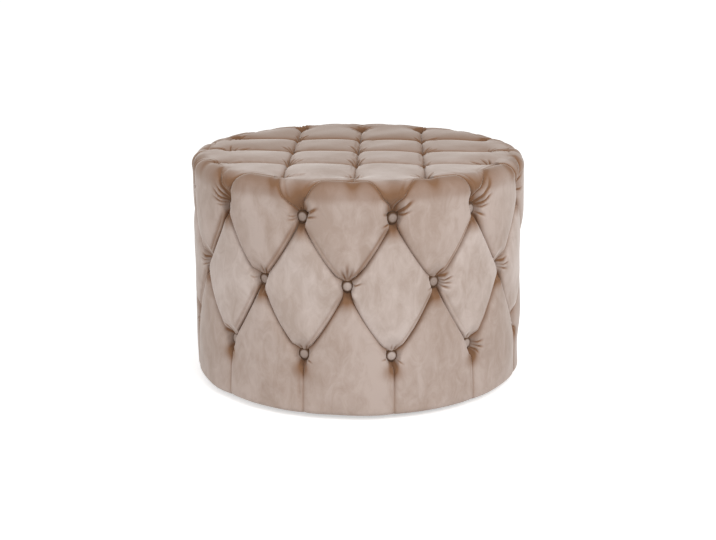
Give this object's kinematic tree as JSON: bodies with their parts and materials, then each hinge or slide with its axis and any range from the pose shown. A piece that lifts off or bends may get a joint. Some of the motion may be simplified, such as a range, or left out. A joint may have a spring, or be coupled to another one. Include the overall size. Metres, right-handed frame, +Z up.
{
  "type": "pouf",
  "caption": "Round drum pouf: deep-buttoned velvet over padding on a timber frame, a low free-standing seat or footrest.",
  "frame": {"origin": "on the floor, at the middle of the pouf's footprint", "axes": "+Z up along the drum's axis, -Y towards the front that the picture shows, +X to the right seen from the front"},
  "size_m": [0.6026, 0.6026, 0.408],
  "materials": {
    "velvet": "short pile velvet",
    "button_velvet": "short pile velvet",
    "wadding": "bonded polyester",
    "foam": "open cell foam",
    "hardboard": "smooth face",
    "plywood": "sanded",
    "softwood": "sawn",
    "screw_steel": "zinc plated",
    "staple_steel": "galvanised wire",
    "dust_cloth": "spun bonded cloth",
    "glide_plastic": "fine grain",
    "button_metal": "pressed",
    "twine": "waxed",
    "washer_plastic": "smooth"
  },
  "bodies": {
    "root": {"side_cover": "velvet", "top_cover": "velvet", "side_wadding": "wadding", "top_wadding": "wadding", "side_foam": "foam", "top_foam": "foam", "wall_panel": "hardboard", "top_board": "plywood", "base_board": "plywood", "frame_post_1": "softwood", "frame_post_2": "softwood", "frame_post_3": "softwood", "frame_post_4": "softwood", "frame_post_5": "softwood", "frame_post_6": "softwood", "top_board_screws": "screw_steel", "base_board_screws": "screw_steel", "dust_cover": "dust_cloth", "dust_cover_staples": "staple_steel", "glide_1": "glide_plastic", "glide_2": "glide_plastic", "glide_3": "glide_plastic", "glide_4": "glide_plastic", "glide_screws": "screw_steel", "upper_row_buttons": "button_velvet", "upper_row_button_backs": "button_metal", "upper_row_twines": "twine", "upper_row_washers": "washer_plastic", "middle_row_buttons": "button_velvet", "middle_row_button_backs": "button_metal", "middle_row_twines": "twine", "middle_row_washers": "washer_plastic", "lower_row_buttons": "button_velvet", "lower_row_button_backs": "button_metal", "lower_row_twines": "twine", "lower_row_washers": "washer_plastic", "rim_buttons": "button_velvet", "rim_button_backs": "button_metal", "rim_twines": "twine", "rim_washers": "washer_plastic", "top_buttons": "button_velvet", "top_button_backs": "button_metal", "top_twines": "twine", "top_washers": "washer_plastic"}
  },
  "joints": []
}
